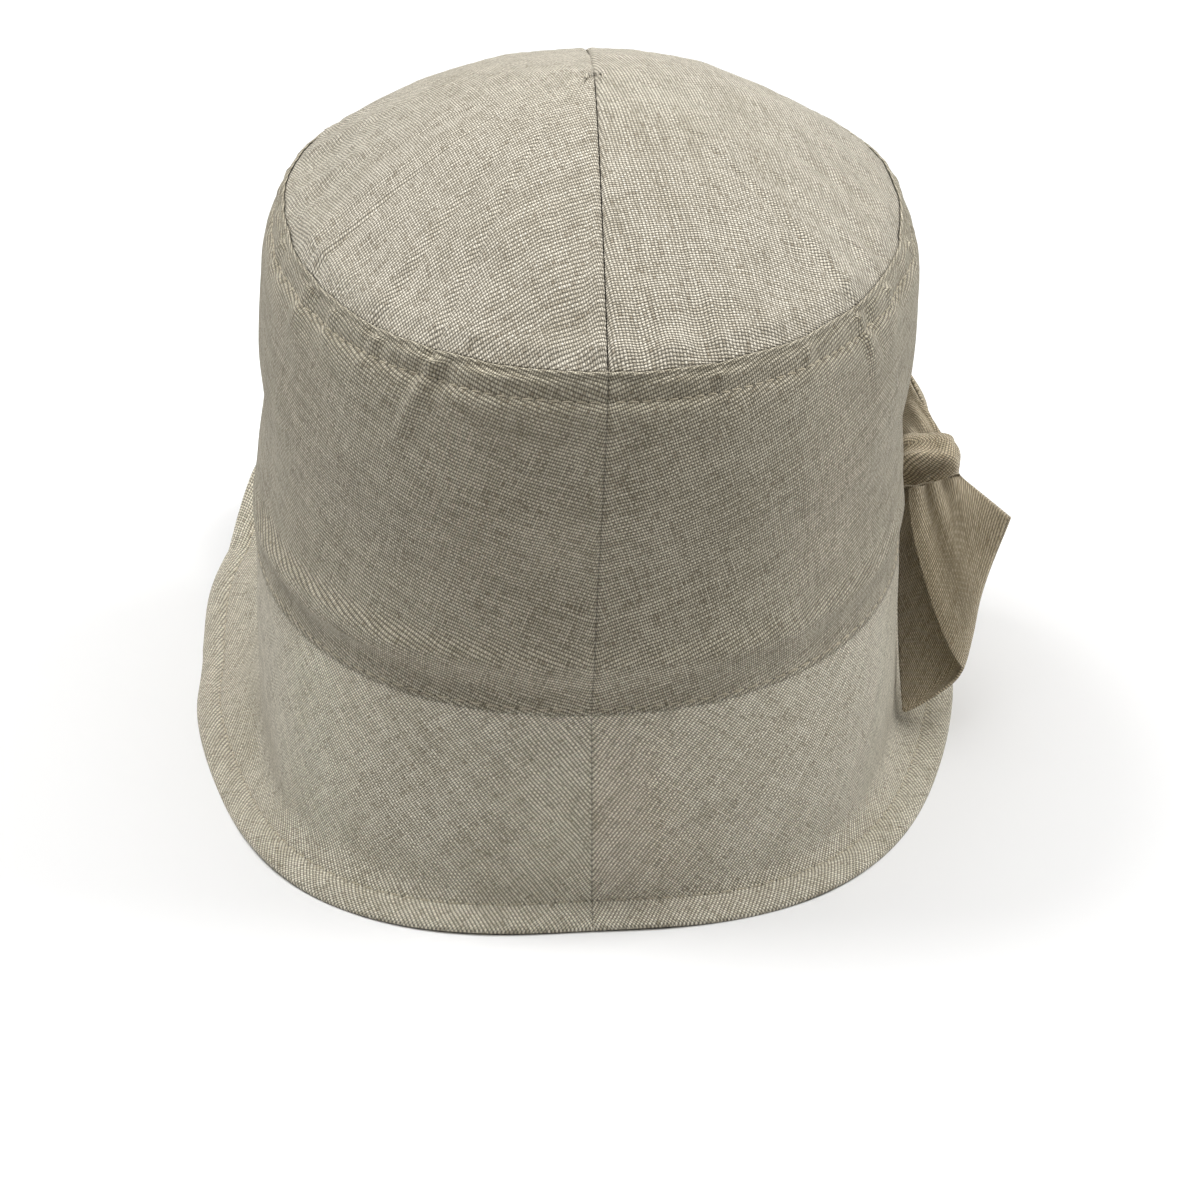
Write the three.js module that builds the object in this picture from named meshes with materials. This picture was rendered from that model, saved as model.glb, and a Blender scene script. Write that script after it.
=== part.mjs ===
// A linen cloche bucket hat: a domed two-panel tip, an upright band, a two-layer brim that is turned up
// at the front, and a folded bow on the wearer's right side.
//
// Millimetres. +Z is up, -Y is the front of the hat, +X is the wearer's left.
// Turns round the hat are in degrees from the centre back, positive towards the wearer's left.
// The hat's own frame has its origin in the middle of the brim seam's plane.
import * as THREE from "three";
import { mergeVertices } from "three/addons/utils/BufferGeometryUtils.js";

// The two closed rings that the crown is sewn between. Both are ovals seen from above: squareness 2
// is an ellipse, more is squarer, and frontTaper narrows the front by that share.
const BRIM_SEAM = { halfWidth: 81.2, halfLength: 96.5, squareness: 2.22, frontTaper: 0.01, x: 0.6, y: 0 };
const TIP_SEAM = { halfWidth: 74.7, halfLength: 94.1, squareness: 2.12, frontTaper: 0.08, x: -3.4, y: -0.4 };

const SEAM_ABOVE_TABLE = 58.4; // the brim seam above the surface that the hat rests on
const CROWN_HEIGHT = 87.3; // the tip seam above the brim seam
const TIP_RISE_LEFT = 1.0; // how much higher the tip seam lies on the left
const TIP_RISE_BACK = 0.9; // how much higher it lies at the back
const TIP_FRONT_DROP = 10.5; // how far the tip seam sinks at the centre front
const TIP_PEAK = { back: 16, rise: 38 }; // the top of the dome, from the middle of the tip seam
const DOME_POWER = 1.8; // how the dome falls off to its seam: 2 is round, more is flatter on top

const CLOTH = 1.2; // thickness of the band and the bow's cloth
const TIP_CLOTH = 1.6; // upright thickness of the tip, about 1.2 across its slope
const BRIM_LAYER = 1.0; // thickness of each brim layer
const GAP = 0.3; // between pieces that are sewn together
const TIP_OVERHANG = 0.4; // the tip's rolled edge stands proud of the band

// The band's outline between the two seams: how far it stands out from a straight line.
const BAND_PROFILE = [
  { height: 0.0, out: 0.0 },
  { height: 0.06, out: -0.4 },
  { height: 0.17, out: 0.2 },
  { height: 0.25, out: 0.4 },
  { height: 0.42, out: 0.2 },
  { height: 0.6, out: 2.6 },
  { height: 0.8, out: 3.6 },
  { height: 0.92, out: 3.6 },
  { height: 1.0, out: 0.0 },
];

// The soft roll round the back of the band above the brim seam. It runs out towards the sides,
// between these turns.
const ROLL = { height: 14.5, out: 1.5, halfWidth: 5, fullTo: 66, noneFrom: 92 };

// Gathers under the tip seam, where the band is eased into the smaller tip: each is a fold that
// is pressed in, widest at the seam and running out down the band.
const GATHERS = [
  { turn: -66, depth: 1.1, width: 4.5, reach: 24 },
  { turn: -52, depth: 0.9, width: 4.0, reach: 16 },
  { turn: 31, depth: 1.5, width: 5.0, reach: 26 },
  { turn: 44, depth: 0.9, width: 4.0, reach: 15 },
  { turn: 56, depth: 1.1, width: 4.0, reach: 18 },
  { turn: 68, depth: 0.8, width: 4.0, reach: 15 },
];

// The brim's width from seam to rim.
const BRIM_WIDTH = { back: 58.5, side: 67, front: 58 };

// How the brim turns outwards round the hat. It leans out from its seam as far as "straight", then
// bends to "rimTurn" at its rim. Angles are in degrees from straight down.
const BRIM_SECTIONS = [
  { turn: -180, lean: 1.3, straight: 5, rimTurn: 175 },
  { turn: -150, lean: 1.3, straight: 4.5, rimTurn: 125 },
  { turn: -125, lean: 1.3, straight: 9.5, rimTurn: 81 },
  { turn: -105, lean: 1, straight: 34, rimTurn: 64 },
  { turn: -88, lean: 1.5, straight: 45.5, rimTurn: 76 },
  { turn: -70, lean: 0.1, straight: 49, rimTurn: 84 },
  { turn: -40, lean: 3.2, straight: 49, rimTurn: 69 },
  { turn: 0, lean: 0.5, straight: 50.5, rimTurn: 64 },
  { turn: 40, lean: 6.7, straight: 47.5, rimTurn: 62 },
  { turn: 70, lean: 2.3, straight: 48.5, rimTurn: 81 },
  { turn: 88, lean: 0.8, straight: 42.5, rimTurn: 72 },
  { turn: 105, lean: 1.2, straight: 37, rimTurn: 65 },
  { turn: 125, lean: 0.2, straight: 11, rimTurn: 76 },
  { turn: 150, lean: 1.7, straight: 3, rimTurn: 133 },
  { turn: 180, lean: 1.3, straight: 5, rimTurn: 175 },
];
// Up to one turn the brim bends soon after its straight part, and from the other evenly to its rim.
const BENDS = { soonTo: 105, evenlyFrom: 125 };
const SOON_POWER = 2.2; // how soon: 1 is a steady bend, more is sharper at its start
// Up to one turn the brim rests on the surface, pressed flat by this much, and from the other it is clear.
const REST = { full: 104, none: 134, pressedFlat: 0.55 };

// How finely each piece is divided.
const BAND_COLUMNS = 96;
const BRIM_COLUMNS = 72;
const BRIM_STEPS = [0, 0.38, 0.64, 0.78, 0.86, 0.91, 0.955, 1];
const TIP_STEPS = [0, 0.32, 0.56, 0.76, 0.9, 1];
const TIP_COLUMNS = 48;
const CURL_STEPS = 60;

// The bow is sewn to the band by its knot. Places are in the hat's own frame.
const KNOT = {
  centre: [-89.8, -10.8, 5.2],
  halfHeight: 7.8,
  halfDepth: 8.3,
  width: 11.6,
  squareness: 3.4,
  tilt: -12,
};
const KNOT_COLUMNS = 20;
// The knot's size along its own width: 1 is at an end of the width, 0 in its middle.
const KNOT_SECTIONS = [
  { along: 0.98, size: 0.38 },
  { along: 0.88, size: 0.77 },
  { along: 0.6, size: 1 },
  { along: 0, size: 1 },
  { along: -0.6, size: 1 },
  { along: -0.88, size: 0.77 },
  { along: -0.98, size: 0.38 },
];
const BOW_COLUMNS = 28;
const BOW_ROWS = 7;
const NECK_PLEATS = 1.5; // waves across a loop where it enters the knot
const FLARE_POWER = 1.5; // how soon a loop widens to its fold line
const FLARE_SHARE = 0.6; // how much of the widening comes early at the lower edge; at the upper edge it is even
const FLATTER_EDGES = 0.3; // how much less a loop puffs at its lower edge than in its middle
const CLOSING_FROM = -0.3; // where across a loop its layers start to close towards its upper edge
const LEAST_PUFF = 0.12; // share of the puff that is left at the upper edge
const NEAR_EDGE_POWER = 0.3; // how soon along a loop its near layer's lower edge rises
const PAST_FOLD = 0.05; // how soon the far layer is as wide as the whole fold line

// Each loop runs from the knot to a fold and back. The fold line is drawn through the places from its
// top corner to its bottom corner. The near layer stops above the bottom corner, by nearEdgeRise of
// the line, and the far layer's lower edge is tucked in towards the crown.
const BOW_LOOPS = [
  {
    name: "bow_loop_rear",
    start: [-90.4, -1.0, 5.0],
    neckAcross: [-1, 0, 0.3],
    fold: [
      { x: -108, y: 12, z: 2 },
      { x: -104.5, y: 14, z: -8 },
      { x: -101, y: 17, z: -18 },
      { x: -99, y: 19.5, z: -29 },
      { x: -95.5, y: 22.5, z: -39 },
      { x: -88.5, y: 26, z: -45.5 },
      { x: -82, y: 30, z: -50.5 },
    ],
    neckHalf: 6.6,
    neckGap: 1.6,
    puff: 6.5,
    topPuff: 0.3,
    nearEdgeRise: 0.38,
    farEdge: { inwards: 1.2, forwards: 6 },
    pleats: 0.8,
  },
  {
    name: "bow_loop_front",
    start: [-88.8, -18.3, 6.5],
    neckAcross: [-1, 0, 0.1],
    fold: [
      { x: -87.5, y: -53, z: 12 },
      { x: -90, y: -54, z: 4 },
      { x: -91.5, y: -55, z: -12 },
      { x: -88, y: -55, z: -30 },
    ],
    neckHalf: 6.0,
    neckGap: 1.8,
    puff: 6.0,
    topPuff: 0.4,
    nearEdgeRise: 0,
    farEdge: { inwards: 0, forwards: 0 },
    pleats: 0.8,
  },
];

const cloth = (colour) => new THREE.MeshStandardMaterial({ color: colour, roughness: 0.92, metalness: 0 });
const LINEN = 0xc2b8a0;
const LINEN_UNDERSIDE = 0xb4a98f;
const LINEN_BOW = 0xbcae92;

const radians = THREE.MathUtils.degToRad;
const vector = (x, y, z) => new THREE.Vector3(x, y, z);
const range = (count) => Array.from({ length: count }, (_, i) => i);
const clamp = THREE.MathUtils.clamp;
const mix = THREE.MathUtils.lerp;

// A smooth curve through a table's rows: column values against a key column. With a period, the
// curve joins its own start.
function smoothTable(rows, key, column, period = 0) {
  const last = rows.length - 1;
  const slope = (i) => {
    const closed = period > 0 && (i === 0 || i === last);
    const a = closed ? rows[last - 1] : rows[Math.max(i - 1, 0)];
    const b = closed ? rows[1] : rows[Math.min(i + 1, last)];
    const span = b[key] - a[key] + (closed ? period : 0);
    return (b[column] - a[column]) / span;
  };
  return (at) => {
    let i = 0;
    while (i < last - 1 && rows[i + 1][key] <= at) i += 1;
    const span = rows[i + 1][key] - rows[i][key];
    const t = (at - rows[i][key]) / span;
    const start = rows[i][column];
    const end = rows[i + 1][column];
    const rise = end - start;
    const m0 = slope(i) * span;
    const m1 = slope(i + 1) * span;
    return start + t * (m0 + t * (3 * rise - 2 * m0 - m1 + t * (m0 + m1 - 2 * rise)));
  };
}

// Where a ring stands at a turn, and which way is straight out from it there.
function ringAt(ring, turn) {
  const s = Math.sin(radians(turn));
  const c = Math.cos(radians(turn));
  const n = ring.squareness;
  const k = (Math.abs(s) ** n + Math.abs(c) ** n) ** (-1 / n);
  const out = vector(
    (Math.sign(s) * Math.abs(s * k) ** (n - 1)) / ring.halfWidth,
    (Math.sign(c) * Math.abs(c * k) ** (n - 1)) / ring.halfLength,
    0,
  ).normalize();
  const narrowed = 1 - ring.frontTaper * Math.min(c, 0) ** 2;
  const x = ring.x + ring.halfWidth * s * k * narrowed;
  return { place: vector(x, ring.y + ring.halfLength * c * k, 0), out };
}

function tipSeamHeight(turn) {
  const side = Math.sin(radians(turn));
  const back = Math.cos(radians(turn));
  return CROWN_HEIGHT + TIP_RISE_LEFT * side + TIP_RISE_BACK * back - TIP_FRONT_DROP * Math.min(back, 0) ** 2;
}

// A closed mesh from its corner points and faces, with shared corners merged and collapsed faces
// left out.
function closedMesh(name, points, faces, colour) {
  const geometry = new THREE.BufferGeometry();
  geometry.setAttribute("position", new THREE.Float32BufferAttribute(points.flatMap((p) => p.toArray()), 3));
  geometry.setIndex(faces.flat());
  const merged = mergeVertices(geometry, 1e-3);
  const index = Array.from(merged.index.array);
  const kept = range(index.length / 3)
    .map((i) => index.slice(3 * i, 3 * i + 3))
    .filter(([a, b, c]) => a !== b && b !== c && c !== a);
  merged.setIndex(kept.flat());
  merged.computeVertexNormals();
  const mesh = new THREE.Mesh(merged, cloth(colour));
  mesh.name = name;
  return mesh;
}

// A wall of cloth between two sheets of points, outer[row][column] and inner[row][column]. A
// wrapped wall closes round its columns, and any other has two more edges there.
function wall(name, outer, inner, wrapped, colour) {
  const rows = outer.length;
  const columns = outer[0].length;
  const points = [...outer.flat(), ...inner.flat()];
  const at = (side, row, column) => side * rows * columns + row * columns + (column % columns);
  const faces = [];
  const quad = (a, b, c, d) => faces.push([a, b, c], [a, c, d]);
  const spans = wrapped ? columns : columns - 1;
  for (let j = 0; j < spans; j += 1) {
    for (let i = 0; i < rows - 1; i += 1) {
      quad(at(0, i, j), at(0, i + 1, j), at(0, i + 1, j + 1), at(0, i, j + 1));
      quad(at(1, i, j), at(1, i, j + 1), at(1, i + 1, j + 1), at(1, i + 1, j));
    }
    quad(at(0, 0, j), at(0, 0, j + 1), at(1, 0, j + 1), at(1, 0, j));
    quad(at(0, rows - 1, j), at(1, rows - 1, j), at(1, rows - 1, j + 1), at(0, rows - 1, j + 1));
  }
  if (!wrapped) {
    const end = columns - 1;
    for (let i = 0; i < rows - 1; i += 1) {
      quad(at(0, i, 0), at(1, i, 0), at(1, i + 1, 0), at(0, i + 1, 0));
      quad(at(0, i, end), at(0, i + 1, end), at(1, i + 1, end), at(1, i, end));
    }
  }
  return closedMesh(name, points, faces, colour);
}

// How far the gathers press the band in, at a turn and a distance below the tip seam.
function gatherDepth(turn, below) {
  return GATHERS.reduce((sum, gather) => {
    const down = Math.max(1 - below / gather.reach, 0);
    const across = (turn - gather.turn) / gather.width;
    return sum + gather.depth * Math.exp(-across * across) * down;
  }, 0);
}

const bandOut = smoothTable(BAND_PROFILE, "height", "out");

// How far the roll stands out at a turn and a distance above the brim seam.
function rollOut(turn, above) {
  const share = clamp((ROLL.noneFrom - Math.abs(turn)) / (ROLL.noneFrom - ROLL.fullTo), 0, 1);
  const across = (above - ROLL.height) / ROLL.halfWidth;
  return ROLL.out * share * Math.exp(-across * across);
}

// The band's outer surface at a turn and a share of its height.
function bandAt(turn, share) {
  const low = ringAt(BRIM_SEAM, turn);
  const high = ringAt(TIP_SEAM, turn);
  const height = tipSeamHeight(turn) - TIP_CLOTH - GAP;
  const place = low.place.clone().lerp(high.place, share);
  const below = (1 - share) * height;
  const out = bandOut(share) + rollOut(turn, height - below) - gatherDepth(turn, below);
  place.addScaledVector(low.out, out);
  place.z = mix(GAP / 2, height, share);
  return { place, out: low.out };
}

function crownBand() {
  const turns = range(BAND_COLUMNS).map((i) => -180 + (360 * i) / BAND_COLUMNS);
  const sheet = (inset) =>
    BAND_PROFILE.map(({ height: share }) =>
      turns.map((turn) => {
        const { place, out } = bandAt(turn, share);
        return place.addScaledVector(out, -inset);
      }),
    );
  return wall("crown_band", sheet(0), sheet(CLOTH), true, LINEN);
}

// Half of the tip, from the centre seam to the rim on one side: 1 is the wearer's left.
function crownTip(name, side) {
  const shift = vector((side * GAP) / 2, 0, 0);
  const turns = range(TIP_COLUMNS + 1).map((i) => side * (180 * i) / TIP_COLUMNS);
  if (side > 0) turns.reverse();
  const middle = vector(TIP_SEAM.x, TIP_SEAM.y + TIP_PEAK.back, CROWN_HEIGHT);
  const sheet = (drop) =>
    TIP_STEPS.map((step) =>
      turns.map((turn) => {
        const { place, out } = ringAt(TIP_SEAM, turn);
        place.addScaledVector(out, TIP_OVERHANG);
        place.z = tipSeamHeight(turn);
        const point = middle.clone().lerp(place, step).add(shift);
        point.z += TIP_PEAK.rise * (1 - step ** DOME_POWER) - drop;
        return point;
      }),
    );
  return wall(name, sheet(0), sheet(TIP_CLOTH), false, LINEN);
}

const straightAt = smoothTable(BRIM_SECTIONS, "turn", "straight", 360);
const rimTurnAt = smoothTable(BRIM_SECTIONS, "turn", "rimTurn", 360);
const leanAt = smoothTable(BRIM_SECTIONS, "turn", "lean", 360);

// The brim's section at a turn, as places along its width: how far out and how far down from the
// seam each lies, and the slope there. The outer layer's upper surface follows these places.
function brimSection(turn) {
  const c = Math.cos(radians(turn));
  const width = mix(BRIM_WIDTH.side, c > 0 ? BRIM_WIDTH.back : BRIM_WIDTH.front, c * c);
  const lean = leanAt(turn);
  const straight = straightAt(turn);
  const rimTurn = rimTurnAt(turn);
  const soon = clamp((BENDS.evenlyFrom - Math.abs(turn)) / (BENDS.evenlyFrom - BENDS.soonTo), 0, 1);
  const step = width / CURL_STEPS;
  const places = [{ out: 0, up: 0, slope: radians(lean) }];
  for (let i = 0; i < CURL_STEPS; i += 1) {
    const share = clamp(((i + 0.5) * step - straight) / (width - straight), 0, 1);
    const evenly = share * share * (3 - 2 * share);
    const bent = mix(evenly, 1 - (1 - share) ** SOON_POWER, soon);
    const angle = radians(mix(lean, rimTurn, bent));
    const { out, up } = places[i];
    places.push({ out: out + Math.sin(angle) * step, up: up - Math.cos(angle) * step, slope: angle });
  }
  return places;
}

// A sheet of the brim at a depth under its upper surface, settled on the table where it rests.
function brimSheet(depth) {
  const turns = range(BRIM_COLUMNS).map((i) => -180 + (360 * i) / BRIM_COLUMNS);
  const underside = 2 * BRIM_LAYER + GAP;
  const sections = turns.map((turn) => {
    const places = brimSection(turn);
    const lowest = Math.min(...places.map((p) => p.up - underside * Math.sin(p.slope)));
    const rests = clamp((REST.none - Math.abs(turn)) / (REST.none - REST.full), 0, 1);
    const settled = mix(1, (SEAM_ABOVE_TABLE + REST.pressedFlat) / -lowest, rests);
    const { place, out } = ringAt(BRIM_SEAM, turn);
    return BRIM_STEPS.map((share) => {
      const { out: away, up, slope } = places[Math.round(share * CURL_STEPS)];
      const point = place.clone().addScaledVector(out, away - depth * Math.cos(slope));
      point.z = up * settled - depth * Math.sin(slope) - GAP / 2;
      point.z = Math.max(point.z, -SEAM_ABOVE_TABLE);
      return point;
    });
  });
  return BRIM_STEPS.map((_, i) => sections.map((section) => section[i])).reverse();
}

function brimLayer(name, depth, colour) {
  return wall(name, brimSheet(depth), brimSheet(depth + BRIM_LAYER), true, colour);
}

// One loop of the bow: a strip that leaves the knot, folds over the fold line and comes back. It is
// twisted on the way, from the way that it lies in the knot to the way that its fold line runs.
function bowLoop(loop) {
  const { name, start, neckAcross, fold, neckHalf, neckGap, puff, topPuff, pleats } = loop;
  const neck = vector(...start);
  const foldLine = new THREE.CatmullRomCurve3(fold.map(({ x, y, z }) => vector(x, y, z)).reverse());
  const along = foldLine.getPoint(0.5).sub(neck).normalize();
  const neckWay = vector(...neckAcross).normalize();
  const foldWay = foldLine.getPoint(1).sub(foldLine.getPoint(0)).normalize();
  const neckFacing = along.clone().cross(neckWay).normalize();
  const foldFacing = along.clone().cross(foldWay).normalize();

  // The middle of the cloth: u runs from the knot round the fold and back, v from -1 to 1 across.
  const middle = (u, v) => {
    const reach = Math.sin(Math.PI * u) ** 2;
    const near = Math.cos(Math.PI * u);
    const low = (1 - v) / 2;
    const pastFold = clamp((u - 0.5) / PAST_FOLD, 0, 1);
    const over = mix(v, 1, loop.nearEdgeRise * reach ** NEAR_EDGE_POWER * low * (1 - pastFold));
    const flare = 1 - (1 - reach) ** FLARE_POWER;
    const neckPoint = neck.clone().addScaledVector(neckWay, neckHalf * v);
    const foldMiddle = foldLine.getPoint(0.5);
    const foldArm = foldLine.getPoint((over + 1) / 2).sub(foldMiddle);
    const carry = mix(reach, flare, FLARE_SHARE * low);
    const place = neckPoint.lerp(foldMiddle, reach).addScaledVector(foldArm, carry);
    const facing = neckFacing.clone().lerp(foldFacing, reach).normalize();
    const closing = Math.sqrt(1 - clamp((v - CLOSING_FROM) / (1 - CLOSING_FROM), 0, 1) ** 2);
    const flatter = 1 - FLATTER_EDGES * Math.min(v, 0) ** 2;
    const fullness = Math.max(closing * flatter * mix(1, topPuff, 1 - low), LEAST_PUFF);
    const lift = puff * Math.sin(2 * Math.PI * u) * Math.sin(Math.PI * u) * fullness;
    const pleat = pleats * (1 - reach) ** 2 * Math.cos(2 * Math.PI * NECK_PLEATS * v);
    const back = clamp(2 * u - 1, 0, 1);
    place.x += loop.farEdge.inwards * low * low * back * (2 - back);
    place.y -= loop.farEdge.forwards * low * low * 4 * back * (1 - back);
    return place.addScaledVector(facing, lift + neckGap * near + pleat);
  };

  const small = 1e-3;
  const sheet = (offset) =>
    range(BOW_ROWS).map((i) =>
      range(BOW_COLUMNS).map((j) => {
        const u = j / (BOW_COLUMNS - 1);
        const v = -1 + (2 * i) / (BOW_ROWS - 1);
        const du = middle(Math.min(u + small, 1), v).sub(middle(Math.max(u - small, 0), v));
        const dv = middle(u, Math.min(v + small, 1)).sub(middle(u, Math.max(v - small, -1)));
        return middle(u, v).addScaledVector(du.cross(dv).normalize(), offset);
      }),
    );
  return wall(name, sheet(-CLOTH / 2), sheet(CLOTH / 2), false, LINEN_BOW);
}

// The knot: a cushion of cloth over the loops' necks, gathered shut at both ends.
function bowKnot() {
  const { centre, halfHeight, halfDepth, width, squareness, tilt } = KNOT;
  const ring = { halfWidth: halfDepth, halfLength: halfHeight, squareness, frontTaper: 0, x: 0, y: 0 };
  const points = KNOT_SECTIONS.flatMap(({ along, size }) =>
    range(KNOT_COLUMNS).map((i) => {
      const { place } = ringAt(ring, (360 * i) / KNOT_COLUMNS);
      return vector(place.x * size, (along * width) / 2, place.y * size);
    }),
  );
  const at = (row, column) => row * KNOT_COLUMNS + (column % KNOT_COLUMNS);
  const last = KNOT_SECTIONS.length - 1;
  const backEnd = points.push(vector(0, width / 2, 0)) - 1;
  const frontEnd = points.push(vector(0, -width / 2, 0)) - 1;
  const faces = [];
  for (let j = 0; j < KNOT_COLUMNS; j += 1) {
    for (let i = 0; i < last; i += 1) {
      faces.push([at(i, j), at(i + 1, j), at(i + 1, j + 1)], [at(i, j), at(i + 1, j + 1), at(i, j + 1)]);
    }
    faces.push([backEnd, at(0, j), at(0, j + 1)], [frontEnd, at(last, j + 1), at(last, j)]);
  }
  const knot = closedMesh("bow_knot", points, faces, LINEN_BOW);
  knot.position.set(...centre);
  knot.rotation.x = radians(tilt);
  return knot;
}

const hat = new THREE.Group();
hat.add(
  crownTip("crown_tip_left", 1),
  crownTip("crown_tip_right", -1),
  crownBand(),
  brimLayer("brim_top", 0, LINEN),
  brimLayer("brim_facing", BRIM_LAYER + GAP, LINEN_UNDERSIDE),
  ...BOW_LOOPS.map(bowLoop),
  bowKnot(),
);

// The part stands on Z = 0 with its box centred on the Z axis.
const box = new THREE.Box3().setFromObject(hat);
const centre = box.getCenter(vector(0, 0, 0));
hat.position.set(-centre.x, -centre.y, -box.min.z);

export default hat;
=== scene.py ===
import math

import bpy
import numpy as np
from mathutils import Matrix, Vector, noise


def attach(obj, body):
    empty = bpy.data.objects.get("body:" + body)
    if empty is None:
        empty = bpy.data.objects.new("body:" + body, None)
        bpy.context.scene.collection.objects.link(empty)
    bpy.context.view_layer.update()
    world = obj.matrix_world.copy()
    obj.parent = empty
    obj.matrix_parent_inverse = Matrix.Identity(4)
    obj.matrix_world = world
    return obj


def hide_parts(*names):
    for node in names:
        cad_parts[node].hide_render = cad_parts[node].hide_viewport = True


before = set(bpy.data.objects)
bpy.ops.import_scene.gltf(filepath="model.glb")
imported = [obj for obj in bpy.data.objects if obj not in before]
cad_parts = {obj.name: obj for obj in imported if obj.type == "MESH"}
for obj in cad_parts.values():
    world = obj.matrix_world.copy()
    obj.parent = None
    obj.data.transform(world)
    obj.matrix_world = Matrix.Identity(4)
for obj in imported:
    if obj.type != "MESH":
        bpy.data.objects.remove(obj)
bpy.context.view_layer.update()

# Lengths are millimetres in the hat's own frame: the origin is the middle of the brim seam's plane,
# +Z is up, -Y is the front and +X is the wearer's left. Turns round the hat are in degrees from the
# centre back, positive towards the wearer's left. Meshes are made in metres.
MM = 0.001
SEAM_ABOVE_TABLE = 58.4
HAT_ORIGIN = np.array([4.214, 12.407, SEAM_ABOVE_TABLE])  # in the frame, whose origin is on the table

# The seams round the crown: rounded ovals, narrower at the front by the taper.
BRIM_SEAM = dict(half_width=81.2, half_length=96.5, squareness=2.22, front_taper=0.01, x=0.6, y=0)
TIP_SEAM = dict(half_width=74.7, half_length=94.1, squareness=2.12, front_taper=0.08, x=-3.4, y=-0.4)
CROWN_HEIGHT = 87.3  # from the brim seam up to the tip seam, before the seam's rise and drop
TIP_RISE_LEFT = 1.0
TIP_RISE_BACK = 0.9
TIP_FRONT_DROP = 10.5
SEAM_GAP = 0.06

TIP_PEAK_BACK = 16  # how far the dome's peak lies behind the middle of the tip seam
TIP_PEAK_RISE = 38
DOME_POWER = 1.8
TIP_INSET = 0.55  # the tip ends this far inside the seam ring, and the band comes over its edge
TIP_SUNK = 0.35
TIP_HALVES_APART = 0.12  # from the seam between them, each

# Thickness of the cloths.
CLOTH = 0.5
BRIM_CLOTH = 0.6
BOW_CLOTH = 0.8
KNOT_CLOTH = 0.1  # thin enough not to fold over itself inside the knot's ends
BRIM_DEPTH = 2.3  # from the top of the brim's outer layer to the bottom of its facing
RIM_RADIUS = BRIM_DEPTH / 2

# The band's outline: share of its height, and how far it stands out from a line between its seams.
BAND_PROFILE = [(0, 0), (0.06, -0.4), (0.17, 0.2), (0.25, 0.4), (0.42, 0.2), (0.6, 2.6), (0.8, 3.6),
                (0.92, 3.6), (1, 0)]
PROFILE_TOP = 1.9  # the outline ends this far below the tip seam
BAND_OUTSIDE = 0.45  # how far the band's upper edge stands outside the seam ring
BAND_OUTSIDE_REACH = 8
BAND_TOP_ROW = 0.6  # the band's edge rolls inwards from this far below the tip seam
EDGE_RADIUS = 0.55
EDGE_ANGLES = [22, 44, 66, 88, 106, 122]

# The soft roll round the back of the band: its height above the brim seam, its spread upwards and
# downwards, how far out it stands, how much more on the wearer's left, and the turns where it fades.
ROLL = dict(height=13.6, above=3.1, below=5, out=1.8, more=2.16, fullest_turn=55, fuller_over=34,
            full_to=66, none_from=92)

# Gathers in the band under the tip seam: turn, depth, half width in degrees, reach below the seam.
GATHERS = [(-66, 1.1, 4.5, 24), (-52, 0.9, 4, 16), (31, 1.5, 5, 26), (44, 0.9, 4, 15),
           (56, 1.1, 4, 18), (68, 0.8, 4, 15)]
GATHERS_FROM = 6  # they are at their deepest this far below the seam

# Pinches in the tip seam: turn, depth, half width in degrees.
PINCHES = [(62.5, 1.2, 1.3), (53.8, 0.5, 1.0), (42.8, 0.7, 1.0), (31.0, 1.3, 0.7), (-49.5, 1.1, 1.0),
           (-60, 0.5, 0.9), (-37, 0.4, 1.2), (14, 0.3, 1.0), (-20, 0.3, 1.2), (78, 0.5, 1.2),
           (-76, 0.5, 1.2)]
PINCH_SHARE = 0.7  # how much of a pinch's depth moves the seam, inwards and down

# Small folds from the pinches: turn at the seam, height, half width in degrees, how many degrees the
# fold moves round the hat per millimetre below the seam, and its reach.
PLEATS = [(61.5, 1.0, 1.4, 0.10, 16), (52.6, 0.9, 1.1, 0.15, 10), (41.5, 1.1, 1.1, 0.25, 12),
          (29.6, 1.5, 1.3, 0.24, 30), (-48.6, 1.3, 1.3, -0.20, 24), (-59, 0.9, 1.1, -0.1, 12),
          (-36, 0.7, 1.1, 0, 11), (13, 0.5, 1.0, 0.1, 9), (-19, 0.5, 1.1, 0, 9), (77, 0.8, 1.2, 0, 12),
          (-75, 0.8, 1.2, 0, 12)]
# Each is steep on one side and eases out on the other, with a hollow beside it: shares of its half
# width and of its height.
PLEAT_STEEP = 0.45
PLEAT_EASY = 1.5
PLEAT_NARROW = 0.7
PLEAT_WIDENING = 14
PLEAT_HEIGHT = 1.5
HOLLOW_ASIDE = 2.2
HOLLOW_HALF_WIDTH = 1.3
HOLLOW_DEPTH = 0.7

BRIM_WIDTH_BACK = 58.5
BRIM_WIDTH_SIDE = 67
BRIM_WIDTH_FRONT = 58

# The brim's curl: turn, its lean from the seam, how far it runs straight, and the angle of its rim.
# Angles are in degrees from straight down.
BRIM_SECTIONS = [
    (-180, 1.3, 5, 175), (-150, 1.3, 4.5, 125), (-125, 1.3, 9.5, 81), (-105, 1, 34, 64),
    (-88, 1.5, 45.5, 76), (-70, 0.1, 49, 84), (-40, 3.2, 49, 69), (0, 0.5, 50.5, 64), (40, 6.7, 47.5, 62),
    (70, 2.3, 48.5, 81), (88, 0.8, 42.5, 72), (105, 1.2, 37, 65), (125, 0.2, 11, 76), (150, 1.7, 3, 133),
    (180, 1.3, 5, 175)]
SOON_TO = 105  # up to this turn the brim bends soon after its straight part
SOON_POWER = 2.2
EVENLY_FROM = 125  # from this turn on it bends evenly to its rim
REST_FULL = 104  # up to this turn the brim rests on the table
REST_NONE = 134  # from this turn on its turned-up front is clear of it
PRESSED_FLAT = 0.55

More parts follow.
